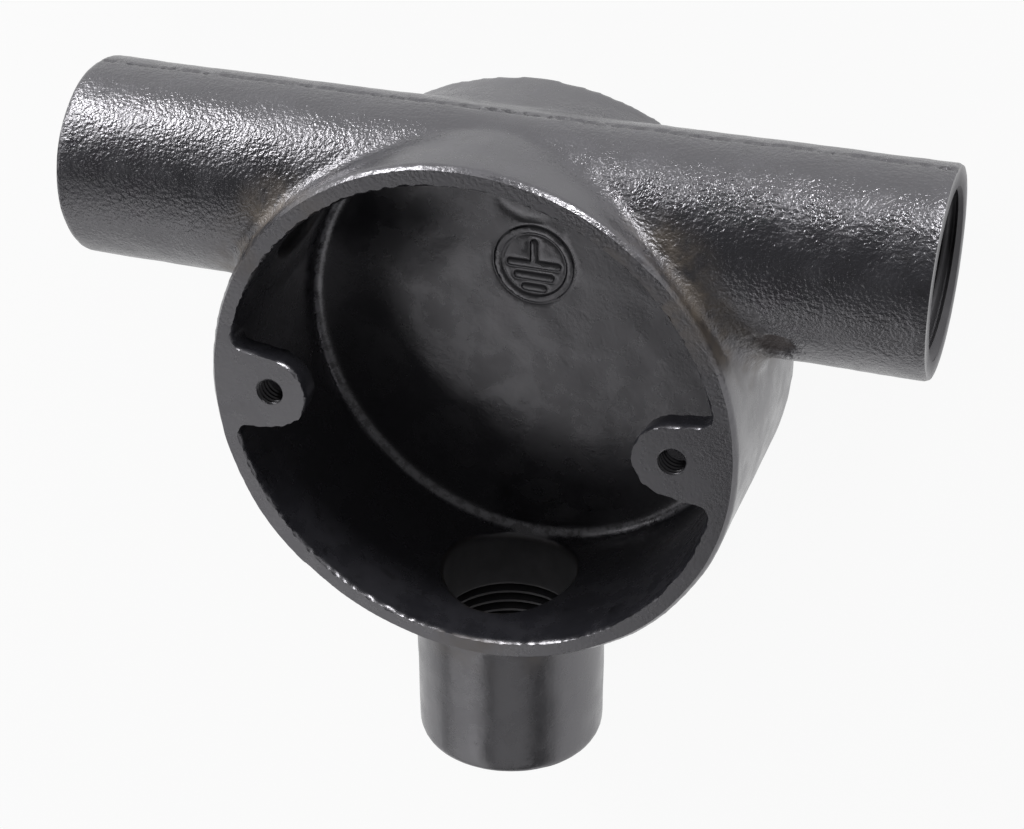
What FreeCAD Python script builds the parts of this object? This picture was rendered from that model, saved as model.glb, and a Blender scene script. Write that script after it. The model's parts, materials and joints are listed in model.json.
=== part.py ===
import FreeCAD, Part
import math
import os
import Sketcher

# Conduit body: a one-piece malleable-iron tangent-tee box for M20 conduit.
# Millimetres. The flat back lies on z = 0 and the box opens upward.
# The in-line spouts run along X, level with the +Y side of the box. The branch spout points along -Y.

SIZES = [
    # alias, value, what it is
    ("box_radius", 33.3, "outside radius of the round box"),
    ("box_depth", 28.6, "back face to rim face"),
    ("box_wall", 2.76, "side wall thickness"),
    ("back_wall", 3.4, "back wall thickness"),
    ("floor_fillet", 1.6, "fillet between floor and side wall"),
    ("rim_round", 0.9, "rounding of the rim's outer edge"),
    ("spout_radius", 12.5, "outside radius of each spout"),
    ("spout_height", 13.3, "back face to spout axis"),
    ("left_reach", 53.6, "box axis to the left spout's end"),
    ("right_reach", 52.4, "box axis to the right spout's end"),
    ("branch_reach", 54.0, "box axis to the branch spout's end"),
    ("root_fillet", 1.8, "fillet where a spout leaves the box"),
    ("end_round", 0.5, "rounding of a spout's outer end edge"),
    ("entry_radius", 9.19, "radius at the crests of the M20 x 1.5 entry thread"),
    ("entry_depth", 16.6, "length of the threaded part of each spout"),
    ("entry_chamfer", 0.95, "lead-in chamfer at each threaded mouth"),
    ("bore_radius", 8.6, "as-cast bore between thread and box"),
    ("mouth_round", 1.2, "rounding where a bore breaks into the cavity"),
    ("screw_spacing", 50.8, "distance between the two lid-screw holes"),
    ("screw_radius", 1.65, "radius at the crests of the M4 lid-screw thread"),
    ("lug_radius", 5.15, "radius of a lug's tip about its hole"),
    ("lug_root", 6.1, "half width of a lug where it meets the wall"),
    ("lug_depth", 3.6, "thickness of a lug at the rim"),
    ("lug_draft", 8.0, "draft of a lug's sides, degrees"),
    ("lug_bite", 0.8, "how far a lug's root reaches into the side wall"),
    ("lug_fillet", 1.0, "fillet between a lug and the wall"),
    ("mark_radius", 5.3, "outside radius of the earth mark's ring"),
    ("mark_line", 1.0, "width of the mark's raised lines"),
    ("mark_relief", 0.35, "height of the mark above the floor"),
    ("mark_offset", 9.5, "box axis to the centre of the mark"),
    ("mark_stem", 3.5, "length of the mark's stem"),
    ("mark_bar", 7.0, "length of the mark's longest bar"),
    ("mark_step", 2.3, "how much shorter each next bar is"),
    ("mark_pitch", 1.75, "spacing of the mark's three bars"),
    ("blank_overrun", 8.0, "extra metal that the facing cuts take off"),
]

NODE = "conduit_body"
UP = FreeCAD.Vector(0, 0, 1)

doc = FreeCAD.newDocument("conduit_body_part")


def make_sheet():
    sheet = doc.addObject("Spreadsheet::Sheet", "sizes")
    for row, (alias, value, meaning) in enumerate(SIZES, start=1):
        sheet.set(f"A{row}", meaning)
        sheet.set(f"B{row}", str(value))
        sheet.setAlias(f"B{row}", alias)
    doc.recompute()
    return sheet


sheet = make_sheet()
body = doc.addObject("PartDesign::Body", NODE)
body.Label = NODE


def size(alias):
    return float(sheet.get(alias))


# ---------------------------------------------------------------- sketches

def new_sketch(name, plane, lift="0"):
    """A sketch on one of the body's own origin planes, lifted along that plane's normal."""
    sketch = body.newObject("Sketcher::SketchObject", name)
    support = [f for f in body.Origin.OriginFeatures if f.Role == plane][0]
    sketch.AttachmentSupport = [(support, "")]
    sketch.MapMode = "FlatFace"
    sketch.setExpression("AttachmentOffset.Base.z", lift)
    return sketch


def named(sketch, name, constraint, formula):
    """Adds a driving constraint and ties it to the sheet."""
    index = sketch.addConstraint(constraint)
    sketch.renameConstraint(index, name)
    sketch.setExpression(f"Constraints.{name}", formula)


def add_circle(sketch, name, radius, centre_x=None, centre_y=None):
    """A circle centred on the sketch's axes, or at centre_x and centre_y from its origin."""
    start = FreeCAD.Vector(10 if centre_x else 0, 10 if centre_y else 0, 0)
    circle = sketch.addGeometry(Part.Circle(start, UP, 5), False)
    centre, origin = (circle, 3), (-1, 1)
    named(sketch, f"{name}_radius", Sketcher.Constraint("Radius", circle, 5), radius)
    for axis, kind, offset in (("x", "DistanceX", centre_x), ("y", "DistanceY", centre_y)):
        if offset:
            constraint = Sketcher.Constraint(kind, *origin, *centre, 10)
            named(sketch, f"{name}_{axis}", constraint, offset)
        else:
            line = -2 if axis == "x" else -1
            sketch.addConstraint(Sketcher.Constraint("PointOnObject", *centre, line))
    return circle


# ---------------------------------------------------------------- features

def pad(name, sketch, length, back_length=None, taper=None, downward=False):
    feature = body.newObject("PartDesign::Pad", name)
    feature.Profile = sketch
    feature.Reversed = downward
    feature.setExpression("Length", length)
    if back_length:
        feature.SideType = "Two sides"
        feature.setExpression("Length2", back_length)
    if taper:
        feature.setExpression("TaperAngle", taper)
    doc.recompute()
    return feature


def pocket(name, sketch, length, back_length=None, along_normal=False):
    """Cuts against the sketch's normal, or along it, or with back_length both ways."""
    before = body.Shape.Volume
    feature = body.newObject("PartDesign::Pocket", name)
    feature.Profile = sketch
    feature.Reversed = along_normal
    feature.setExpression("Length", length)
    if back_length:
        feature.SideType = "Two sides"
        feature.setExpression("Length2", back_length)
    doc.recompute()
    if not feature.Shape.Volume < before:
        raise RuntimeError(f"{name} cuts nothing")
    return feature


def round_edges(kind, name, wanted, amount):
    """A Fillet or Chamfer on each edge of the body that the test 'wanted' picks."""
    base = body.Tip
    edges = base.Shape.Edges
    picked = [f"Edge{i}" for i, edge in enumerate(edges, start=1) if wanted(base.Shape, edge)]
    if not picked:
        raise RuntimeError(f"{name} finds no edge")
    feature = body.newObject(f"PartDesign::{kind}", name)
    feature.Base = (base, picked)
    feature.setExpression("Radius" if kind == "Fillet" else "Size", amount)
    doc.recompute()
    return feature


# ---------------------------------------------------------------- which edge is which

def faces_of(shape, edge):
    return shape.ancestorsOfType(edge, Part.Face)


def is_cylinder(face, direction, radius):
    surface = face.Surface
    if not isinstance(surface, Part.Cylinder):
        return False
    along = abs(surface.Axis.dot(direction)) > 0.999
    return along and abs(surface.Radius - radius) < 1e-4


def is_plane_at(face, direction, distance):
    surface = face.Surface
    if not isinstance(surface, Part.Plane):
        return False
    across = abs(surface.Axis.dot(direction)) > 0.999
    return across and abs(surface.Position.dot(direction) - distance) < 1e-4


# ---------------------------------------------------------------- the casting

ALONG_X = FreeCAD.Vector(1, 0, 0)
ALONG_Y = FreeCAD.Vector(0, 1, 0)
CAVITY_RADIUS = "(sizes.box_radius - sizes.box_wall)"
INLINE_OFFSET = f"({CAVITY_RADIUS} - sizes.entry_radius)"  # the threads lie tangent to the side wall


def make_blank():
    """The outside of the casting, longer than the box at both faces."""
    outline = new_sketch("box_outline", "XY_Plane")
    add_circle(outline, "box", "sizes.box_radius")
    pad("box", outline, "sizes.box_depth + sizes.blank_overrun", "sizes.blank_overrun")

    inline = new_sketch("inline_outline", "YZ_Plane")
    add_circle(inline, "spout", "sizes.spout_radius", INLINE_OFFSET, "sizes.spout_height")
    pad("inline_spouts", inline, "sizes.right_reach", "sizes.left_reach")

    branch = new_sketch("branch_outline", "XZ_Plane")
    add_circle(branch, "spout", "sizes.spout_radius", None, "sizes.spout_height")
    pad("branch_spout", branch, "sizes.branch_reach")


def lies_along_spout(face, radius):
    return is_cylinder(face, ALONG_X, radius) or is_cylinder(face, ALONG_Y, radius)


def is_spout_side(face):
    return lies_along_spout(face, size("spout_radius"))


def is_root(shape, edge):
    faces = faces_of(shape, edge)
    on_wall = any(is_cylinder(face, UP, size("box_radius")) for face in faces)
    return on_wall and any(is_spout_side(face) for face in faces)


def face_off():
    """Cuts the blank flat at the back and at the rim."""
    reach = "2 * (sizes.left_reach + sizes.right_reach + sizes.branch_reach)"
    back = new_sketch("back_cut", "XY_Plane")
    add_circle(back, "cut", reach)
    pocket("back_face", back, "2 * sizes.blank_overrun")

    rim = new_sketch("rim_cut", "XY_Plane", "sizes.box_depth + 2 * sizes.blank_overrun")
    add_circle(rim, "cut", reach)
    pocket("rim_face", rim, "2 * sizes.blank_overrun")


def is_rim_outer_edge(shape, edge):
    return any(is_plane_at(face, UP, size("box_depth")) for face in faces_of(shape, edge))


def at_spout_end(faces):
    ends = ((ALONG_X, "right_reach", 1), (ALONG_X, "left_reach", -1), (ALONG_Y, "branch_reach", -1))
    return any(is_plane_at(face, way, side * size(reach)) for face in faces for way, reach, side in ends)


def is_spout_end_edge(shape, edge):
    faces = faces_of(shape, edge)
    return at_spout_end(faces) and any(is_spout_side(face) for face in faces)


def cut_cavity():
    outline = new_sketch("cavity_outline", "XY_Plane", "sizes.box_depth")
    add_circle(outline, "cavity", CAVITY_RADIUS)
    pocket("cavity", outline, "sizes.box_depth - sizes.back_wall")


def is_floor_corner(shape, edge):
    faces = faces_of(shape, edge)
    on_floor = any(is_plane_at(face, UP, size("back_wall")) for face in faces)
    return on_floor and any(is_cavity_side(face) for face in faces)


def is_cavity_side(face):
    return is_cylinder(face, UP, size("box_radius") - size("box_wall"))


def add_lug():
    """One lug on +X: a tongue with a round tip about the screw hole, its root inside the wall."""
    sketch = new_sketch("lug_outline", "XY_Plane", "sizes.box_depth")
    circle = Part.Circle(FreeCAD.Vector(25, 0, 0), UP, 5)
    tip = sketch.addGeometry(Part.ArcOfCircle(circle, math.pi / 2, 3 * math.pi / 2), False)
    corners = [FreeCAD.Vector(25, 5, 0), FreeCAD.Vector(31, 6, 0), FreeCAD.Vector(31, -6, 0),
               FreeCAD.Vector(25, -5, 0)]
    sides = [sketch.addGeometry(Part.LineSegment(a, b), False) for a, b in zip(corners, corners[1:])]
    upper, root, lower = sides
    start, end, middle, origin = 1, 2, 3, (-1, 1)
    for first, second in (((tip, start), (upper, start)), ((upper, end), (root, start)),
                          ((root, end), (lower, start)), ((lower, end), (tip, end))):
        sketch.addConstraint(Sketcher.Constraint("Coincident", *first, *second))
    sketch.addConstraint(Sketcher.Constraint("PointOnObject", tip, middle, -1))
    sketch.addConstraint(Sketcher.Constraint("Vertical", tip, start, tip, middle))
    sketch.addConstraint(Sketcher.Constraint("Vertical", tip, end, tip, middle))
    sketch.addConstraint(Sketcher.Constraint("Symmetric", root, start, root, end, -1))
    named(sketch, "reach", Sketcher.Constraint("DistanceX", *origin, tip, middle, 25),
          "sizes.screw_spacing / 2")
    named(sketch, "tip_radius", Sketcher.Constraint("Radius", tip, 5), "sizes.lug_radius")
    named(sketch, "root_half", Sketcher.Constraint("DistanceY", *origin, root, start, 6),
          "sizes.lug_root")
    named(sketch, "root_reach", Sketcher.Constraint("DistanceX", *origin, root, start, 31),
          "sizes.box_radius - sizes.box_wall + sizes.lug_bite")
    return pad("lug", sketch, "sizes.lug_depth", taper="-sizes.lug_draft", downward=True)


def mirror_to_left(feature, name):
    mirrored = body.newObject("PartDesign::Mirrored", name)
    mirrored.Originals = [feature]
    side = [f for f in body.Origin.OriginFeatures if f.Role == "YZ_Plane"][0]
    mirrored.MirrorPlane = (side, [""])
    body.Tip = mirrored
    doc.recompute()
    return mirrored


def is_lug_root(shape, edge):
    """The upright edges where a lug's sides meet the wall of the cavity."""
    faces = faces_of(shape, edge)
    on_wall = [face for face in faces if is_cavity_side(face)]
    return len(on_wall) == 1 and len(faces) == 2 and edge.BoundBox.ZLength > size("lug_depth") / 2


def drill_screw_holes():
    sketch = new_sketch("screw_outline", "XY_Plane", "sizes.box_depth")
    add_circle(sketch, "screw", "sizes.screw_radius", "sizes.screw_spacing / 2")
    hole = pocket("screw_hole", sketch, "2 * sizes.lug_depth")
    mirror_to_left(hole, "screw_hole_left")


def bore_spouts():
    """The as-cast bores first, then the threaded entries from each end."""
    inline = new_sketch("inline_bore", "YZ_Plane")
    add_circle(inline, "bore", "sizes.bore_radius", INLINE_OFFSET, "sizes.spout_height")
    pocket("inline_bores", inline, "sizes.left_reach", "sizes.right_reach")
    branch = new_sketch("branch_bore_outline", "XZ_Plane")
    add_circle(branch, "bore", "sizes.bore_radius", None, "sizes.spout_height")
    pocket("branch_bore", branch, "sizes.branch_reach", along_normal=True)

    for side, plane, lift, offset, along_normal in (
            ("right", "YZ_Plane", "sizes.right_reach", INLINE_OFFSET, False),
            ("left", "YZ_Plane", "-sizes.left_reach", INLINE_OFFSET, True),
            ("branch", "XZ_Plane", "sizes.branch_reach", None, False)):
        entry = new_sketch(f"{side}_entry_outline", plane, lift)
        add_circle(entry, "entry", "sizes.entry_radius", offset, "sizes.spout_height")
        pocket(f"{side}_entry", entry, "sizes.entry_depth", along_normal=along_normal)


def is_entry_edge(shape, edge):
    faces = faces_of(shape, edge)
    return at_spout_end(faces) and any(lies_along_spout(face, size("entry_radius")) for face in faces)


def is_bore_mouth(shape, edge):
    """The edges where the as-cast bores break into the cavity."""
    faces = faces_of(shape, edge)
    in_bore = any(lies_along_spout(face, size("bore_radius")) for face in faces)
    return in_bore and any(is_cavity_side(face) for face in faces)


def add_bar(sketch, name, left, right, low, high):
    """A rectangle given by its distances from the sketch's origin, as formulas."""
    corners = [FreeCAD.Vector(x, y, 0) for x, y in ((-2, 4), (2, 4), (2, 5), (-2, 5))]
    pairs = zip(corners, corners[1:] + corners[:1])
    sides = [sketch.addGeometry(Part.LineSegment(a, b), False) for a, b in pairs]
    for first, second in zip(sides, sides[1:] + sides[:1]):
        sketch.addConstraint(Sketcher.Constraint("Coincident", first, 2, second, 1))
    bottom, right_side, top, left_side = sides
    for side in (bottom, top):
        sketch.addConstraint(Sketcher.Constraint("Horizontal", side))
    for side in (left_side, right_side):
        sketch.addConstraint(Sketcher.Constraint("Vertical", side))
    named(sketch, f"{name}_left", Sketcher.Constraint("DistanceX", -1, 1, bottom, 1, -2), left)
    named(sketch, f"{name}_right", Sketcher.Constraint("DistanceX", -1, 1, bottom, 2, 2), right)
    named(sketch, f"{name}_low", Sketcher.Constraint("DistanceY", -1, 1, bottom, 1, 4), low)
    named(sketch, f"{name}_high", Sketcher.Constraint("DistanceY", -1, 1, top, 1, 5), high)


def add_earth_mark():
    """The common protective-earth symbol in a ring, raised on the floor."""
    ring = new_sketch("mark_ring_outline", "XY_Plane", "sizes.back_wall")
    add_circle(ring, "outer", "sizes.mark_radius", None, "sizes.mark_offset")
    add_circle(ring, "inner", "sizes.mark_radius - sizes.mark_line", None, "sizes.mark_offset")
    pad("mark_ring", ring, "sizes.mark_relief")

    bars = new_sketch("mark_bars_outline", "XY_Plane", "sizes.back_wall")
    half_line = "sizes.mark_line / 2"
    for count in range(3):
        half = f"(sizes.mark_bar - {count} * sizes.mark_step) / 2"
        middle = f"sizes.mark_offset - {count} * sizes.mark_pitch"
        low, high = f"{middle} - {half_line}", f"{middle} + {half_line}"
        add_bar(bars, f"bar{count}", f"-({half})", half, low, high)
    pad("mark_bars", bars, "sizes.mark_relief")

    stem = new_sketch("mark_stem_outline", "XY_Plane", "sizes.back_wall")
    add_bar(stem, "stem", f"-{half_line}", half_line, "sizes.mark_offset",
            "sizes.mark_offset + sizes.mark_stem")
    pad("mark_stem", stem, "sizes.mark_relief")


def check_and_write():
    doc.recompute()
    for item in doc.Objects:
        if {"Invalid", "Error"} & set(item.State):
            raise RuntimeError(f"{item.Name} failed: {item.State}")
    shape = body.Shape
    if shape.isNull() or not shape.isValid() or len(shape.Solids) != 1:
        raise RuntimeError(f"{NODE} is not one sound solid")
    os.makedirs("parts", exist_ok=True)
    shape.exportStep(f"parts/{NODE}.step")
    print(f"{NODE}: {shape.Volume:.1f} cubic mm, {len(shape.Faces)} faces")


make_blank()
round_edges("Fillet", "spout_roots", is_root, "sizes.root_fillet")
face_off()
round_edges("Fillet", "rim_rounding", is_rim_outer_edge, "sizes.rim_round")
round_edges("Fillet", "end_rounding", is_spout_end_edge, "sizes.end_round")
cut_cavity()
round_edges("Fillet", "floor_corner", is_floor_corner, "sizes.floor_fillet")
mirror_to_left(add_lug(), "lug_left")
round_edges("Fillet", "lug_roots", is_lug_root, "sizes.lug_fillet")
bore_spouts()
round_edges("Chamfer", "entry_lead_in", is_entry_edge, "sizes.entry_chamfer")
round_edges("Fillet", "mouth_rounding", is_bore_mouth, "sizes.mouth_round")
drill_screw_holes()
add_earth_mark()
check_and_write()
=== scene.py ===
import json
import math

import bmesh
import bpy
import numpy as np
from mathutils import Matrix, Vector, noise


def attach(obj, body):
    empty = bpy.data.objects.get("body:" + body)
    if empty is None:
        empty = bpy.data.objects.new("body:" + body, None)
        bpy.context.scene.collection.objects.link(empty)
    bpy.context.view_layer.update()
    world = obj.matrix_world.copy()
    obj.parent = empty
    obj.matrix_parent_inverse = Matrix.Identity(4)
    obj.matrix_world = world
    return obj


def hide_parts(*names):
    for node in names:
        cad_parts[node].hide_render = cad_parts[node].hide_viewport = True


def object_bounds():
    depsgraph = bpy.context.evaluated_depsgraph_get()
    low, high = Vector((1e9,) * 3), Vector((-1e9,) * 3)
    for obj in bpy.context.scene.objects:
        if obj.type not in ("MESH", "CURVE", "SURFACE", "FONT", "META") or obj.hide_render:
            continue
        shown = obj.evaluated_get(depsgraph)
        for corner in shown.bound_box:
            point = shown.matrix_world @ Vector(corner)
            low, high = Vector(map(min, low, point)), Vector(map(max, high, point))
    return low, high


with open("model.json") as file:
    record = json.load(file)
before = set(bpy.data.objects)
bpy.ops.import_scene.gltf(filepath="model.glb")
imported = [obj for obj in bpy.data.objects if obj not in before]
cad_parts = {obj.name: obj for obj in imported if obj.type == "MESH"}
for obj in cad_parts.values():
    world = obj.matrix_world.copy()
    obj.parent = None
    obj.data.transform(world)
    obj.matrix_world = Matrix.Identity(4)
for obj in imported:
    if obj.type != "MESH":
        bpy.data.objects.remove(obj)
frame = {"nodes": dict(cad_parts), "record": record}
cadLow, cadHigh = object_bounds()
mm = 0.001

# where things are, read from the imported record
mounts = {mount["name"]: mount for mount in frame["record"]["mounts"]}
entryNames = ["right_entry", "left_entry", "branch_entry"]
inlineAxis = Vector((0, mounts["right_entry"]["pos_m"][1], mounts["right_entry"]["pos_m"][2]))
branchAxis = Vector((0, 0, mounts["branch_entry"]["pos_m"][2]))
rimHeight = mounts["rim_face"]["pos_m"][2]
screwReach = mounts["lid_screws"]["dims"]["spacing_x_mm"] * mm / 2
entryRadius = mounts["right_entry"]["dims"]["r_mm"] * mm
spoutRadius = cadHigh.y - inlineAxis.y

box = {
    "outside": 33.3 * mm,
    "inside": 30.54 * mm,
    "floor": 3.4 * mm,
    "lugUnderside": 3.6 * mm,  # below the rim
}
casting = {
    "voxel": 0.40 * mm,
    "weld": 0.0001 * mm,  # points of the CAD mesh nearer than this are one
    "threadWeld": 0.001 * mm,
    "sawTouch": 0.0005 * mm,  # points this near a saw cut lie on it
    "stock": 1.2 * mm,  # metal left standing for the facing cuts
    "coreRadius": 8.6 * mm,  # the as-cast bore
    "entryDepth": 16.6 * mm,
    "chamfer": 0.95 * mm,
    "screwCore": 0.6,  # share of the screw hole's radius that is cored
    "triangles": 150000,
    "sharpAngle": 50,  # degrees
}
# the outside corners where the spouts leave the box
spoutRoots = {
    "overlap": 0.6 * mm,  # this far under either skin still counts as the corner
    "reach": (1.0 * mm, 3.6 * mm),  # fully blended, not blended
    "height": (15 * mm, 22 * mm),
    "back": (22 * mm, 28 * mm),
    "rightShift": 4.5 * mm,  # the right-hand root is fuller
    "rounds": 24,
    "levels": (0.05, 0.35, 0.65),
}
# the edge of the back, which the mould rounded a little
backEdge = {"reach": (0.9 * mm, 1.8 * mm), "rounds": 4, "levels": (0.3,)}
# each lumpiness: size of a lump, its height on the rough spouts, its height elsewhere
lumps = [
    (9.0 * mm, 0.10 * mm, 0.09 * mm),
    (3.4 * mm, 0.050 * mm, 0.040 * mm),
    (1.5 * mm, 0.030 * mm, 0.014 * mm),
]
lumpSink = 0.8  # the skin is lowered by this share of each height, so that it stays in the box
roughSpouts = {
    "skin": (0.6 * mm, 2.2 * mm),  # off the spouts' own radius
    "middle": (2 * mm, 8 * mm),  # smooth to rough, out from the centre
}
# the inner edge of the rim and of the lugs, which the facing cut left ragged
wornEdge = {
    "depth": 0.45 * mm,
    "round": 0.26 * mm,
    "inward": (0.6 * mm, 1.2 * mm),  # outside the box's inner radius
    "lump": 0.8 * mm,
    "ragged": 1.2,
    "limits": (0.2, 2),
    "shift": Vector((2.2, 4.4, 0)),
}
# the rusted dent under the right spout
rustDent = {
    "place": Vector((35.5, 14.6, 23.6)) * mm,
    "reach": 2.9 * mm,
    "full": 0.45,  # share of the reach that has the whole depth
    "depth": 0.40 * mm,
    "lump": 1.0 * mm,
    "ragged": 0.5,
    "shift": Vector((0, 0, 5.5)),
}
# where the two halves of the mould met, along the backs of the in-line spouts
partingLine = {
    "height": 12.5 * mm,
    "width": 0.60 * mm,
    "relief": 0.50 * mm,
    "sink": 0.35,
    "lump": 0.8 * mm,
    "shift": Vector((6.1, 0, 3.3)),
}
# a thread's outline over one turn: share of the pitch, share of the depth
threadForm = [(0, 0), (0.22, 0), (0.28, 0.12), (0.56, 1), (0.68, 1), (0.96, 0.12), (1, 0)]
entryThread = {"pitch": 1.5 * mm, "depth": 0.81 * mm, "steps": 72, "runOut": 4.5 * mm}
screwThread = {
    "pitch": 0.7 * mm,
    "depth": 0.36 * mm,
    "steps": 28,
    "crest": 1.65 * mm,
    "below": 2.2 * mm,  # past the lug's underside
    "above": 1.6 * mm,  # past the rim
}
earthMark = {
    "centre": 9.5 * mm,
    "plainReach": 6 * mm,  # covers the mark that the CAD shape has
    "floorBand": 0.5 * mm,  # heights this near the floor's belong to it
    "wallGap": 3 * mm,  # the floor's flat part ends this far from the wall
    "margin": 2 * mm,
    "ring": 4.8 * mm,
    "line": 0.42 * mm,  # half width of a raised line
    "slope": 0.24 * mm,
    "relief": 0.16 * mm,
    "ditch": 0.4,  # depth beside a line, as a share of its relief
    "bars": [(3.1 * mm, 0.0), (2.2 * mm, 1.7 * mm), (1.2 * mm, 3.3 * mm)],  # half length, drop
    "stem": 2.9 * mm,
}
# the shallow scar above the mark, part of a circle
crescent = {
    "centre": (-1.5 * mm, 22.3 * mm),
    "radius": 6.6 * mm,
    "halfLength": (2 * mm, 3.6 * mm),
    "halfWidth": (0.2 * mm, 0.8 * mm),
    "top": 22 * mm,
    "depth": 0.10 * mm,
}
# where the finish changes over the casting
finish = {
    "smoothSkin": 0.09,  # coarseness off the spouts, against 1 on them
    "wornRim": 0.30,
    "rimReach": (0.5 * mm, 1.2 * mm),
    "rimBack": (-2 * mm, 12 * mm),  # the rim is worn on the spouts' side
    "brownReach": (0.5 * mm, 6 * mm),
    "brownBack": (24 * mm, 30 * mm),
    "boreReach": (10.2 * mm, 10.6 * mm),
    "boreStart": 1 * mm,
    "insideGap": 0.3 * mm,
    # the painted highlight along the floor's corner:
    "highlightPlace": (0.8 * mm, 0.5 * mm),  # in from the wall, up from the floor
    "highlightReach": (0.35 * mm, 0.8 * mm),
}


def linkPiece(name, mesh):
    piece = bpy.data.objects.new(name, mesh)
    bpy.context.scene.collection.objects.link(piece)
    return piece


def settle(piece):
    # takes the modifiers' result as the piece's own mesh
    depsgraph = bpy.context.evaluated_depsgraph_get()
    mesh = bpy.data.meshes.new_from_object(piece.evaluated_get(depsgraph))
    old = piece.data
    piece.modifiers.clear()
    piece.data = mesh
    bpy.data.meshes.remove(old)


def points(mesh):
    places = np.empty(len(mesh.vertices) * 3)
    mesh.vertices.foreach_get("co", places)
    return places.reshape(-1, 3)


def movePoints(mesh, places):
    mesh.vertices.foreach_set("co", places.ravel())
    mesh.update()


def fade(value, start, end):
    # 1 at start, easing to 0 at end
    share = np.clip((value - start) / (end - start), 0, 1)
    return 1 - share * share * (3 - 2 * share)


def rise(value, start, end):
    # 0 at start, easing to 1 at end
    return fade(-value, -end, -start)


def fromInline(places):
    return np.hypot(places[:, 1] - inlineAxis.y, places[:, 2] - inlineAxis.z)


def fromBranch(places):
    return np.hypot(places[:, 0], places[:, 2] - branchAxis.z)


def fromCentre(places):
    return np.hypot(places[:, 0], places[:, 1])


def makeBlank():
    # the CAD shape with stock on its machined faces and its holes still as cored
    mesh = frame["nodes"]["conduit_body"].data.copy()
    bm = bmesh.new()
    bm.from_mesh(mesh)
    bmesh.ops.remove_doubles(bm, verts=bm.verts, dist=casting["weld"])
    bm.to_mesh(mesh)
    bm.free()
    places = points(mesh)
    touch = 0.01 * mm
    x, y, z = places.T
    threaded = casting["entryDepth"] + touch
    wide = entryRadius + casting["chamfer"] + touch
    inEntry = (x > cadHigh.x - threaded) | (x < cadLow.x + threaded)
    bores = [
        (inEntry & (fromInline(places) < wide), (1, 2), inlineAxis),
        ((y < cadLow.y + threaded) & (fromBranch(places) < wide), (0, 2), branchAxis),
    ]
    for inBore, (across, up), axis in bores:
        offset = places[inBore][:, (across, up)] - np.array((axis[across], axis[up]))
        reach = np.linalg.norm(offset, axis=1, keepdims=True)
        offset *= casting["coreRadius"] / reach
        places[inBore, across] = axis[across] + offset[:, 0]
        places[inBore, up] = axis[up] + offset[:, 1]
    for side in (-1, 1):
        screwX = side * screwReach
        nearScrew = np.hypot(x - screwX, y) < screwThread["crest"] + touch
        places[nearScrew, 0] = screwX + (x[nearScrew] - screwX) * casting["screwCore"]
        places[nearScrew, 1] = y[nearScrew] * casting["screwCore"]
    onMark = (z > box["floor"] + touch) & (z < box["floor"] + earthMark["floorBand"])
    onMark &= np.hypot(x, y - earthMark["centre"]) < earthMark["plainReach"]
    places[onMark, 2] = box["floor"]
    stock = casting["stock"]
    places[z > cadHigh.z - touch, 2] += stock
    places[x > cadHigh.x - touch, 0] += stock
    places[x < cadLow.x + touch, 0] -= stock
    places[y < cadLow.y + touch, 1] -= stock
    movePoints(mesh, places)
    return linkPiece("castBody", mesh)


def remesh(piece):
    modifier = piece.modifiers.new("casting", "REMESH")
    modifier.mode = "VOXEL"
    modifier.voxel_size = casting["voxel"] * 1
    settle(piece)


def rootWeight(places):
    # 1 in the outside corners where the spouts leave the box
    offBox = fromCentre(places) - box["outside"]
    weight = np.zeros(len(places))
    for offSpout in (fromInline(places) - spoutRadius, fromBranch(places) - spoutRadius):
        nearest = np.maximum(np.abs(offBox), np.abs(offSpout))
        outside = (offBox > -spoutRoots["overlap"]) & (offSpout > -spoutRoots["overlap"])
        weight = np.maximum(weight, outside * fade(nearest, *spoutRoots["reach"]))
    shift = np.where(places[:, 0] > 0, spoutRoots["rightShift"], 0)
    weight *= fade(places[:, 2] - shift, *spoutRoots["height"])
    return weight * fade(places[:, 1] - shift, *spoutRoots["back"])


def edgeWeight(places):
    # 1 along the edge of the back
    offEdge = np.hypot(fromCentre(places) - box["outside"], places[:, 2] - cadLow.z)
    return fade(offEdge, *backEdge["reach"])


def blend(piece, weight, rounds, levels):
    # smooths once more at each level that the weight passes
    bm = bmesh.new()
    bm.from_mesh(piece.data)
    bm.verts.ensure_lookup_table()
    axes = {"use_axis_x": True, "use_axis_y": True, "use_axis_z": True}
    for level in levels:
        verts = [bm.verts[i] for i in np.flatnonzero(weight > level)]
        for turn in range(rounds):
            bmesh.ops.smooth_vert(bm, verts=verts, factor=0.5, **axes)
    bm.to_mesh(piece.data)
    bm.free()


def spoutRoughness(places):
    # 1 on the in-line spouts, where the sand left the coarsest skin
    outside = fromCentre(places) > box["inside"]
    onSpout = fade(np.abs(fromInline(places) - spoutRadius), *roughSpouts["skin"])
    return outside * onSpout * rise(np.abs(places[:, 0]), *roughSpouts["middle"])


def lumpField(places, lump, shift):
    # smooth noise between -1 and 1, its lumps about this large
    return np.array([noise.noise(Vector(place) / lump + shift) for place in places])


def seamShare(places):
    # 1 along the parting line
    share = fade(np.abs(places[:, 2] - partingLine["height"]), 0, partingLine["width"])
    outside = np.abs(fromInline(places) - spoutRadius) < partingLine["width"]
    return share * outside * (places[:, 1] > inlineAxis.y)


def dentShare(places):
    # 1 in the middle of the rusted dent, with a ragged border
    reach = rustDent["reach"]
    share = np.zeros(len(places))
    away = np.linalg.norm(places - np.array(rustDent["place"]), axis=1)
    near = np.flatnonzero(away < 1.5 * reach)
    noisy = lumpField(places[near], rustDent["lump"], rustDent["shift"])
    ragged = 1 + rustDent["ragged"] * noisy
    share[near] = fade(away[near] * ragged, rustDent["full"] * reach, reach)
    return share


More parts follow.
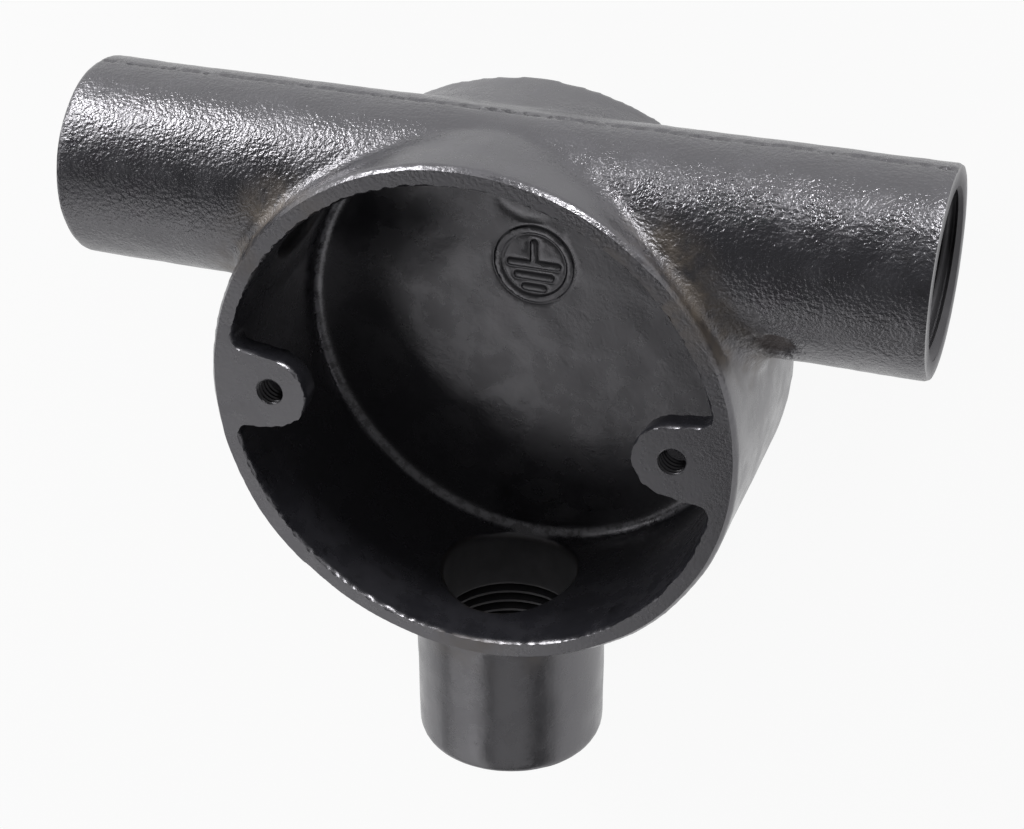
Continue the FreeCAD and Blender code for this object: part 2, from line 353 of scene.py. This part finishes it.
def castLumps(places):
    # what the sand's lumps add, mostly below the true skin
    rough = spoutRoughness(places)
    height = np.zeros(len(places))
    for count, (lump, onSpouts, elsewhere) in enumerate(lumps):
        shift = Vector((3.1 * count, 7.7, 1.9))  # keeps the three patterns apart
        noisy = lumpField(places, lump, shift) - lumpSink
        height += noisy * (elsewhere + (onSpouts - elsewhere) * rough)
    return height


def edgeWear(places):
    # how much is worn off the inner edge of the rim and lugs
    wear = np.zeros(len(places))
    near, far = wornEdge["inward"]
    shoulder = fade(rimHeight - places[:, 2], 0, wornEdge["depth"])
    shoulder *= fade(fromCentre(places), box["inside"] + near, box["inside"] + far)
    nearCut = np.flatnonzero(shoulder > 0)
    noisy = lumpField(places[nearCut], wornEdge["lump"], wornEdge["shift"])
    ragged = np.clip(1 + wornEdge["ragged"] * noisy, *wornEdge["limits"])
    wear[nearCut] = wornEdge["round"] * shoulder[nearCut] * ragged
    return wear


def seamHeight(places):
    # the broken groove and crumbs of the parting line
    height = np.zeros(len(places))
    seam = seamShare(places)
    onSeam = np.flatnonzero(seam > 0)
    ragged = lumpField(places[onSeam], partingLine["lump"], partingLine["shift"]) - partingLine["sink"]
    height[onSeam] = partingLine["relief"] * seam[onSeam] * ragged
    return height


def roughen(piece):
    mesh = piece.data
    places = points(mesh)
    normals = np.empty(len(mesh.vertices) * 3)
    mesh.vertex_normals.foreach_get("vector", normals)
    push = castLumps(places) - edgeWear(places) + seamHeight(places)
    push -= rustDent["depth"] * dentShare(places)
    movePoints(mesh, places + normals.reshape(-1, 3) * push[:, None])


def crescentDepth(places):
    x, y = places[:, 0], places[:, 1]
    middle, centre = crescent["centre"]
    depth = fade(np.abs(np.hypot(x, y - centre) - crescent["radius"]), *crescent["halfWidth"])
    depth *= (y < crescent["top"]) * fade(np.abs(x - middle), *crescent["halfLength"])
    return crescent["depth"] * depth


def markHeight(places):
    # height of the earth mark above the floor, with rounded lines
    x, y = places[:, 0], places[:, 1] - earthMark["centre"]
    gap = np.abs(np.hypot(x, y) - earthMark["ring"])
    for half, drop in earthMark["bars"]:
        alongBar = np.maximum(np.abs(x) - half, 0)
        gap = np.minimum(gap, np.hypot(alongBar, y + drop))
    alongStem = np.maximum(np.abs(y - earthMark["stem"] / 2) - earthMark["stem"] / 2, 0)
    gap = np.minimum(gap, np.hypot(x, alongStem))
    line, slope = earthMark["line"], earthMark["slope"]
    ridge = fade(gap, line - slope / 2, line + slope / 2)
    ditch = fade(np.abs(gap - line - slope), 0, slope)
    return earthMark["relief"] * (ridge - earthMark["ditch"] * ditch)


def raiseMark(piece):
    # splits the faces there twice, then lifts the mark and sinks the scar
    bm = bmesh.new()
    bm.from_mesh(piece.data)
    centre = Vector((0, earthMark["centre"], box["floor"]))
    reach = earthMark["ring"] + earthMark["margin"]
    for turn in range(2):
        near = {vert for vert in bm.verts if (vert.co - centre).length < reach}
        edges = [edge for edge in bm.edges if near.issuperset(edge.verts)]
        bmesh.ops.subdivide_edges(bm, edges=edges, cuts=1, use_grid_fill=True)
    bmesh.ops.triangulate(bm, faces=[face for face in bm.faces if len(face.verts) > 4])
    bm.to_mesh(piece.data)
    bm.free()
    places = points(piece.data)
    onFloor = np.abs(places[:, 2] - box["floor"]) < earthMark["floorBand"]
    onFloor &= fromCentre(places) < box["inside"] - earthMark["wallGap"]
    places[onFloor, 2] += markHeight(places[onFloor]) - crescentDepth(places[onFloor])
    movePoints(piece.data, places)


def thin(piece):
    # collapses the flatter stretches
    triangles = sum(len(face.vertices) - 2 for face in piece.data.polygons)
    modifier = piece.modifiers.new("thinning", "DECIMATE")
    modifier.ratio = min(1.0, casting["triangles"] / triangles)
    settle(piece)


def makeTap(name, crest, thread, length):
    # the space that a tapped hole leaves: a core with the thread standing out of it, mouth up
    pitch, depth = thread["pitch"], thread["depth"]
    bm = bmesh.new()
    verts = [bm.verts.new((crest + deep * depth, 0, along * pitch)) for along, deep in threadForm]
    edges = [bm.edges.new(pair) for pair in zip(verts, verts[1:])]
    turns = math.ceil(length / pitch)
    bmesh.ops.spin(bm, geom=verts + edges, axis=(0, 0, 1), dvec=(0, 0, pitch / thread["steps"]),
                   angle=2 * math.pi * turns, steps=thread["steps"] * turns)
    bmesh.ops.remove_doubles(bm, verts=bm.verts, dist=casting["threadWeld"])
    middle = turns * pitch / 2
    point = 0.5 * crest  # each end runs out this far to a tip
    for side in (-1, 1):
        rims = [edge for edge in bm.edges if edge.is_boundary]
        edges = [edge for edge in rims if (edge.verts[0].co.z - middle) * side > 0]
        tip = Vector((0, 0, middle + side * (middle + point)))
        extruded = bmesh.ops.extrude_edge_only(bm, edges=edges)
        verts = [item for item in extruded["geom"] if isinstance(item, bmesh.types.BMVert)]
        bmesh.ops.pointmerge(bm, verts=verts, merge_co=tip)
    bmesh.ops.recalc_face_normals(bm, faces=bm.faces)
    bmesh.ops.triangulate(bm, faces=bm.faces)
    mesh = bpy.data.meshes.new(name)
    bm.to_mesh(mesh)
    bm.free()
    return linkPiece(name, mesh)


def makeCone(name, narrow, wide, height):
    bm = bmesh.new()
    bmesh.ops.create_cone(bm, cap_ends=True, segments=entryThread["steps"],
                          radius1=narrow, radius2=wide, depth=height)
    mesh = bpy.data.meshes.new(name)
    bm.to_mesh(mesh)
    bm.free()
    return linkPiece(name, mesh)


def setTool(tool, place, axis):
    turn = Vector(axis).to_track_quat("Z", "Y").to_matrix().to_4x4()
    tool.data.transform(Matrix.Translation(place) @ turn)


def cut(piece, tool):
    modifier = piece.modifiers.new("cut", "BOOLEAN")
    modifier.object = tool
    modifier.operation = "DIFFERENCE"
    modifier.solver = "MANIFOLD"
    settle(piece)
    mesh = tool.data
    bpy.data.objects.remove(tool)
    bpy.data.meshes.remove(mesh)


def spoutEnd(name):
    # the middle of a spout's end face, and the way that it faces
    mount = mounts[name]
    axis = Vector(mount["axis"])
    end = Vector(mount["pos_m"])
    for way in range(3):
        if abs(axis[way]) > 0.5:
            end[way] = cadHigh[way] if axis[way] > 0 else cadLow[way]
    return end, axis


def tapEntries(piece):
    for name in entryNames:
        end, axis = spoutEnd(name)
        length = casting["entryDepth"] + entryThread["runOut"]
        tap = makeTap(name + "Tap", entryRadius, entryThread, length)
        setTool(tap, end - axis * casting["entryDepth"], axis)
        cut(piece, tap)
        # the cone runs from one flare inside the mouth to two outside it
        flare = 2 * casting["chamfer"]
        narrow = entryRadius - casting["chamfer"]
        cone = makeCone(name + "Chamfer", narrow, entryRadius + 2 * flare, 3 * flare)
        setTool(cone, end + axis * flare / 2, axis)
        cut(piece, cone)


def tapScrewHoles(piece):
    deep = box["lugUnderside"] + screwThread["below"]
    for side in (-1, 1):
        length = deep + screwThread["above"]
        tap = makeTap("screwTap", screwThread["crest"], screwThread, length)
        setTool(tap, Vector((side * screwReach, 0, rimHeight - deep)), (0, 0, 1))
        cut(piece, tap)


def faceOff(piece):
    # saws off the stock and closes each cut with a flat face
    bm = bmesh.new()
    bm.from_mesh(piece.data)
    planes = [(Vector((0, 0, rimHeight)), Vector((0, 0, 1)))]
    planes += [spoutEnd(name) for name in entryNames]
    for place, axis in planes:
        geometry = bm.verts[:] + bm.edges[:] + bm.faces[:]
        sawn = bmesh.ops.bisect_plane(bm, geom=geometry, dist=casting["sawTouch"],
                                      plane_co=place, plane_no=axis, clear_outer=True)
        edges = [item for item in sawn["geom_cut"] if isinstance(item, bmesh.types.BMEdge)]
        filled = bmesh.ops.triangle_fill(bm, use_beauty=True, edges=edges, normal=axis)
        for item in filled["geom"]:
            if isinstance(item, bmesh.types.BMFace):
                item.material_index = 1
    bm.to_mesh(piece.data)
    bm.free()


def keepInBox(piece):
    # no lump stands out past the CAD shape's box
    places = points(piece.data)
    movePoints(piece.data, np.clip(places, np.array(cadLow), np.array(cadHigh)))


def isInside(places):
    return fromCentre(places) < box["inside"] + finish["insideGap"]


def brownMask(places):
    # the corners where brown shows through
    offBox = fromCentre(places) - box["outside"]
    corner = np.zeros(len(places))
    for offSpout in (fromInline(places) - spoutRadius, fromBranch(places) - spoutRadius):
        nearest = np.maximum(np.abs(offBox), np.abs(offSpout))
        corner = np.maximum(corner, fade(nearest, *finish["brownReach"]))
    corner *= fade(places[:, 1], *finish["brownBack"])
    return corner * ~isInside(places)


def coarseMask(places):
    offRim = np.hypot(fromCentre(places) - box["outside"], places[:, 2] - rimHeight)
    worn = finish["wornRim"] * fade(offRim, *finish["rimReach"]) * rise(places[:, 1], *finish["rimBack"])
    rough = np.maximum(spoutRoughness(places), worn)
    skin = finish["smoothSkin"] + (1 - finish["smoothSkin"]) * rough
    return np.maximum(skin, seamShare(places))


def boreMask(places):
    # inside the bores: where the base colour is darkened as painted shade and the enamel is made matt
    offBranch = np.where(places[:, 1] < 0, fromBranch(places), spoutRadius)
    inBore = fade(np.minimum(fromInline(places), offBranch), *finish["boreReach"])
    return inBore * rise(fromCentre(places), box["inside"], box["inside"] + finish["boreStart"])


def cornerHighlightMask(places):
    # the painted highlight along the floor's corner, a pale line
    inward, upward = finish["highlightPlace"]
    toWall = box["inside"] - inward - fromCentre(places)
    offCorner = np.hypot(toWall, places[:, 2] - box["floor"] - upward)
    return isInside(places) * fade(offCorner, *finish["highlightReach"])


def paintMasks(piece):
    places = points(piece.data)
    masks = {
        "coarseSkin": coarseMask(places),
        "corner": brownMask(places),
        "inBore": boreMask(places),
        "rust": dentShare(places),
        "cornerHighlight": cornerHighlightMask(places),
    }
    for name, values in masks.items():
        attribute = piece.data.attributes.new(name, "FLOAT", "POINT")
        attribute.data.foreach_set("value", values.astype(np.float32))


def makeCasting():
    piece = makeBlank()
    piece.data.materials.clear()
    remesh(piece)
    print("remeshed casting", len(piece.data.vertices))
    rounds = spoutRoots["rounds"] // 1
    blend(piece, rootWeight(points(piece.data)), rounds, spoutRoots["levels"])
    blend(piece, edgeWeight(points(piece.data)), backEdge["rounds"], backEdge["levels"])
    roughen(piece)
    raiseMark(piece)
    thin(piece)
    print("roughened and thinned casting", len(piece.data.polygons))
    tapEntries(piece)
    tapScrewHoles(piece)
    print("tapped holes", len(piece.data.polygons))
    faceOff(piece)
    keepInBox(piece)
    paintMasks(piece)
    piece.data.shade_smooth()
    piece.data.set_sharp_from_angle(angle=math.radians(casting["sharpAngle"]))
    for face in piece.data.polygons:
        face.use_smooth = face.material_index == 0
    print("faced off", sum(len(face.vertices) - 2 for face in piece.data.polygons), "triangles")
    return piece


def addNode(tree, kind, place=(0, 0), **values):
    node = tree.nodes.new(kind)
    node.location = place
    for name, value in values.items():
        setattr(node, name, value)
    return node


def addNoise(tree, source, scale, detail=3.0, roughness=0.55):
    node = addNode(tree, "ShaderNodeTexNoise")
    node.inputs["Scale"].default_value = scale
    node.inputs["Detail"].default_value = detail
    node.inputs["Roughness"].default_value = roughness
    tree.links.new(source, node.inputs["Vector"])
    return node.outputs["Fac"]


def addMath(tree, operation, first, second=None, clamp=False):
    node = addNode(tree, "ShaderNodeMath", operation=operation, use_clamp=clamp)
    for socket, value in zip(node.inputs, (first, second)):
        if value is None:
            continue
        if isinstance(value, (int, float)):
            socket.default_value = value
        else:
            tree.links.new(value, socket)
    return node.outputs[0]


def addRange(tree, source, low, high, toLow=0.0, toHigh=1.0):
    node = addNode(tree, "ShaderNodeMapRange", interpolation_type="SMOOTHSTEP")
    for name, value in zip(("From Min", "From Max", "To Min", "To Max"), (low, high, toLow, toHigh)):
        node.inputs[name].default_value = value
    tree.links.new(source, node.inputs["Value"])
    return node.outputs[0]


def makeGroup(name, inputs, outputs):
    group = bpy.data.node_groups.new(name, "ShaderNodeTree")
    for socket, kind, value in inputs:
        item = group.interface.new_socket(name=socket, in_out="INPUT", socket_type=kind)
        if value is not None:
            item.default_value = value
    for socket, kind in outputs:
        group.interface.new_socket(name=socket, in_out="OUTPUT", socket_type=kind)
    return group, addNode(group, "NodeGroupInput"), addNode(group, "NodeGroupOutput")


sandGrain = {
    "size": 0.44,  # mm
    "fine": {"scale": 2.6, "height": 0.05},  # scales count grains, heights are shares of a grain's
    "broad": {"scale": 0.32, "height": 0.4},
    "pits": {"scale": 0.34, "height": 0.03, "range": (0.68, 0.84)},
    "mottle": {"scale": 0.09},
}


def makeSandSkin():
    # the lumpy skin that moulding sand leaves under paint: fine relief and dark pits
    fine, broad, pitted = sandGrain["fine"], sandGrain["broad"], sandGrain["pits"]
    group, source, result = makeGroup(
        "sandSkin",
        [
            ("Vector", "NodeSocketVector", None),
            ("Coarse", "NodeSocketFloat", 1.0),
            ("Grain Size", "NodeSocketFloat", sandGrain["size"]),
        ],
        [("Height", "NodeSocketFloat"), ("Pits", "NodeSocketFloat"), ("Mottle", "NodeSocketFloat")],
    )
    perMetre = addMath(group, "DIVIDE", 1 / mm, source.outputs["Grain Size"])
    scaled = addNode(group, "ShaderNodeVectorMath", operation="SCALE")
    group.links.new(source.outputs["Vector"], scaled.inputs[0])
    group.links.new(perMetre, scaled.inputs["Scale"])
    grainNoise = addNoise(group, scaled.outputs[0], 1.0, 2.0, 0.5)
    fineNoise = addNoise(group, scaled.outputs[0], fine["scale"], 2.0, 0.5)
    broadNoise = addNoise(group, scaled.outputs[0], broad["scale"], 2.0, 0.5)
    pitNoise = addNoise(group, scaled.outputs[0], pitted["scale"], 0.0, 0.4)
    mottle = addNoise(group, scaled.outputs[0], sandGrain["mottle"]["scale"], 4.0, 0.6)
    lumpy = addMath(group, "ADD", grainNoise, addMath(group, "MULTIPLY", broadNoise, broad["height"]))
    coarse = addMath(group, "MULTIPLY", lumpy, source.outputs["Coarse"])
    height = addMath(group, "ADD", coarse, addMath(group, "MULTIPLY", fineNoise, fine["height"]))
    pits = addRange(group, pitNoise, *pitted["range"])
    height = addMath(group, "SUBTRACT", height, addMath(group, "MULTIPLY", pits, pitted["height"]))
    group.links.new(height, result.inputs["Height"])
    group.links.new(pits, result.inputs["Pits"])
    group.links.new(mottle, result.inputs["Mottle"])
    return group


sandSkin = makeSandSkin()
castEnamel = {
    "colour": (0.013, 0.013, 0.016, 1),
    "greyed": (0.018, 0.018, 0.022, 1),
    "greyRange": (0.40, 0.68),
    "brown": (0.090, 0.068, 0.042, 1),
    "brownPatch": {"scale": 160, "range": (0.34, 0.66), "dulls": 0.30},
    "pit": (0.005, 0.005, 0.006, 1),
    "pitStrength": 0.7,
    # painted shade: the base colour inside the bores
    "bore": (0.003, 0.003, 0.004, 1),
    # painted highlight: pale colour for the line along the floor's corner, broken into patches
    "cornerHighlight": (0.22, 0.22, 0.24, 1),
    "highlightPatch": {"scale": 900, "range": (0.35, 0.6)},
    "rust": (0.030, 0.017, 0.010, 1),
    "mattness": 0.45,  # added roughness in the bores and on the rust
    "relief": 0.15 * mm,
    "gloss": (0.21, 0.31),
    "refraction": 2.10,  # index of the baked enamel
    "reflectionTint": (0.97, 0.95, 1.0, 1),
}
facedEnamel = {
    "colour": (0.019, 0.019, 0.023, 1),
    "worn": (0.027, 0.027, 0.032, 1),
    "wornRange": (0.42, 0.66),
    "coarse": 0.1,
    "relief": 0.03 * mm,
    "gloss": (0.34, 0.42),
    "refraction": 1.90,
    "reflectionTint": (0.97, 0.95, 1.0, 1),
}
glossRange = (0.35, 0.65)  # the mottle between which the gloss goes from low to high


def startMaterial(name):
    material = bpy.data.materials.new(name)
    material.use_nodes = True
    tree = material.node_tree
    shader = tree.nodes["Principled BSDF"]
    coordinates = addNode(tree, "ShaderNodeTexCoord", (-1400, 0)).outputs["Object"]
    return material, tree, shader, coordinates


def colourSockets(sockets):
    return [socket for socket in sockets if socket.type == "RGBA"]


def mixColours(tree, share, first, second):
    node = addNode(tree, "ShaderNodeMix", data_type="RGBA")
    tree.links.new(share, node.inputs["Factor"])
    for socket, value in zip(colourSockets(node.inputs), (first, second)):
        if isinstance(value, tuple):
            socket.default_value = value
        else:
            tree.links.new(value, socket)
    return colourSockets(node.outputs)[0]


def readMask(tree, name):
    return addNode(tree, "ShaderNodeAttribute", attribute_name=name).outputs["Fac"]


def addPatches(tree, coordinates, patch, detail, roughness=0.55):
    noisy = addNoise(tree, coordinates, patch["scale"], detail, roughness)
    return addRange(tree, noisy, *patch["range"])


def addFinish(tree, shader, skin, look, dulled=None):
    # gloss, reflections and relief, the same way for both enamels
    gloss = addRange(tree, skin.outputs["Mottle"], *glossRange, *look["gloss"])
    if dulled:
        gloss = addMath(tree, "ADD", gloss, dulled)
    tree.links.new(gloss, shader.inputs["Roughness"])
    shader.inputs["IOR"].default_value = look["refraction"]
    shader.inputs["Specular Tint"].default_value = look["reflectionTint"]
    bump = addNode(tree, "ShaderNodeBump")
    bump.inputs["Distance"].default_value = look["relief"]
    bump.inputs["Strength"].default_value = 1.0
    tree.links.new(skin.outputs["Height"], bump.inputs["Height"])
    tree.links.new(bump.outputs["Normal"], shader.inputs["Normal"])


def makeCastEnamel():
    look = castEnamel
    material, tree, shader, coordinates = startMaterial("castEnamel")
    skin = addNode(tree, "ShaderNodeGroup", (-900, 0), node_tree=sandSkin)
    tree.links.new(coordinates, skin.inputs["Vector"])
    tree.links.new(readMask(tree, "coarseSkin"), skin.inputs["Coarse"])
    greyed = addRange(tree, skin.outputs["Mottle"], *look["greyRange"])
    patches = addPatches(tree, coordinates, look["brownPatch"], 3.0, 0.6)
    browned = addMath(tree, "MULTIPLY", readMask(tree, "corner"), patches, clamp=True)
    pitted = addMath(tree, "MULTIPLY", skin.outputs["Pits"], look["pitStrength"])
    # inside the bores: painted shade in the colour, and added roughness
    inBore = readMask(tree, "inBore")
    # the painted highlight along the floor's corner, in patches
    patches = addPatches(tree, coordinates, look["highlightPatch"], 2.0)
    highlighted = addMath(tree, "MULTIPLY", readMask(tree, "cornerHighlight"), patches)
    rusted = readMask(tree, "rust")
    colour = mixColours(tree, greyed, look["colour"], look["greyed"])
    layers = (("brown", browned), ("pit", pitted), ("bore", inBore), ("cornerHighlight", highlighted), ("rust", rusted))
    for name, share in layers:
        colour = mixColours(tree, share, colour, look[name])
    tree.links.new(colour, shader.inputs["Base Color"])
    matt = addMath(tree, "MULTIPLY", addMath(tree, "ADD", rusted, inBore), look["mattness"])
    dulled = addMath(tree, "MULTIPLY", browned, look["brownPatch"]["dulls"])
    addFinish(tree, shader, skin, look, addMath(tree, "ADD", dulled, matt))
    return material


def makeFacedEnamel():
    look = facedEnamel
    material, tree, shader, coordinates = startMaterial("facedEnamel")
    skin = addNode(tree, "ShaderNodeGroup", (-900, 0), node_tree=sandSkin)
    skin.inputs["Coarse"].default_value = look["coarse"]
    tree.links.new(coordinates, skin.inputs["Vector"])
    worn = addRange(tree, skin.outputs["Mottle"], *look["wornRange"])
    colour = mixColours(tree, worn, look["colour"], look["worn"])
    tree.links.new(colour, shader.inputs["Base Color"])
    addFinish(tree, shader, skin, look)
    return material


view = {
    "sensor": 36,  # mm
    "place": Vector((0.08102, 0.13111, 0.23536)),
    "aim": Vector((0.00086, -0.00604, 0.01430)),
    "lens": 76.667,  # mm
    "roll": -0.615,  # degrees
}


def lookFrame(place, aim, upward):
    # stands at the place with -Z towards the aim
    back = (place - aim).normalized()
    right = upward.cross(back).normalized()
    turn = Matrix((right, back.cross(right), back)).transposed().to_4x4()
    return Matrix.Translation(place) @ turn


def makeCamera():
    data = bpy.data.cameras.new("viewCamera")
    data.sensor_width = view["sensor"]
    data.lens = view["lens"]
    data.clip_start = 0.01
    camera = linkPiece("viewCamera", data)
    spin = Matrix.Rotation(math.radians(view["roll"]), 4, "Z")
    camera.matrix_world = lookFrame(view["place"], view["aim"], Vector((0, 1, 0))) @ spin
    bpy.context.scene.camera = camera


studio = {
    "overhead": 0.12,  # strength of the world straight above
    "horizon": 1.0,
    "horizonHeight": 0.50,
    "floorSize": 3,
    "floorGap": 0.1 * mm,  # keeps the floor clear of the casting's back
    "floorColour": (0.9, 0.9, 0.9, 1),
    "floorRoughness": 0.9,
    "floorGlow": 0.93,  # share of the floor's own white that the camera sees
    "lamps": [
        # name, direction from the part, distance, width, depth, watts
        ("keyLamp", (-0.64, 0.75, 0.19), 0.60, 0.26, 0.14, 2.1),
        ("haloLamp", (-0.76, 0.52, 0.40), 0.80, 0.34, 0.30, 0.8),
        ("backStrip", (0.30, 0.92, 0.15), 0.60, 0.20, 0.05, 1.6),
        ("leftLamp", (-0.47, -0.40, 0.78), 0.80, 0.60, 0.26, 0.35),
        ("nearLamp", (-0.42, -0.72, 0.55), 0.80, 0.50, 0.34, 0.50),
        ("rightLamp", (0.28, -0.60, 0.70), 0.80, 0.60, 0.36, 0.33),
    ],
}


def makeFloor():
    bm = bmesh.new()
    bmesh.ops.create_grid(bm, x_segments=1, y_segments=1, size=studio["floorSize"])
    bmesh.ops.translate(bm, verts=bm.verts, vec=(0, 0, cadLow.z - studio["floorGap"]))
    mesh = bpy.data.meshes.new("floor")
    bm.to_mesh(mesh)
    bm.free()
    floor = linkPiece("floor", mesh)
    material = bpy.data.materials.new("whiteFloor")
    material.use_nodes = True
    tree = material.node_tree
    shader = tree.nodes["Principled BSDF"]
    shader.inputs["Base Color"].default_value = studio["floorColour"]
    shader.inputs["Roughness"].default_value = studio["floorRoughness"]
    glow = addNode(tree, "ShaderNodeEmission")
    rays = addNode(tree, "ShaderNodeLightPath")
    mix = addNode(tree, "ShaderNodeMixShader")
    seen = addMath(tree, "MAXIMUM", rays.outputs["Is Camera Ray"], rays.outputs["Is Glossy Ray"])
    tree.links.new(addMath(tree, "MULTIPLY", seen, studio["floorGlow"]), mix.inputs[0])
    tree.links.new(shader.outputs[0], mix.inputs[1])
    tree.links.new(glow.outputs[0], mix.inputs[2])
    tree.links.new(mix.outputs[0], tree.nodes["Material Output"].inputs["Surface"])
    mesh.materials.append(material)


def makeLight():
    world = bpy.data.worlds.new("studioWorld")
    bpy.context.scene.world = world
    world.use_nodes = True
    tree = world.node_tree
    background = tree.nodes["Background"]
    background.inputs["Color"].default_value = (1, 1, 1, 1)
    # white towards the horizon, dim overhead, and plain white to the camera
    sky = addNode(tree, "ShaderNodeSeparateXYZ")
    tree.links.new(addNode(tree, "ShaderNodeTexCoord").outputs["Generated"], sky.inputs[0])
    height = sky.outputs["Z"]
    strength = addRange(tree, height, 0.0, studio["horizonHeight"], studio["horizon"], studio["overhead"])
    seen = addNode(tree, "ShaderNodeLightPath").outputs["Is Camera Ray"]
    tree.links.new(addMath(tree, "MAXIMUM", strength, seen), background.inputs["Strength"])
    for name, direction, distance, width, depth, watts in studio["lamps"]:
        data = bpy.data.lights.new(name, "AREA")
        data.shape = "RECTANGLE"
        data.size, data.size_y, data.energy = width, depth, watts
        lamp = linkPiece(name, data)
        place = Vector(direction).normalized() * distance
        lamp.matrix_world = lookFrame(place, Vector((0, 0, 0)), Vector((0, 0, 1)))
    bpy.context.scene.view_settings.view_transform = "Standard"


makeCamera()
body = makeCasting()
body.data.materials.clear()
for material in (makeCastEnamel(), makeFacedEnamel()):
    body.data.materials.append(material)
print("enamelled casting")
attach(body, "root")
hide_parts("conduit_body")
makeFloor()
makeLight()
print("laid floor and lit studio")
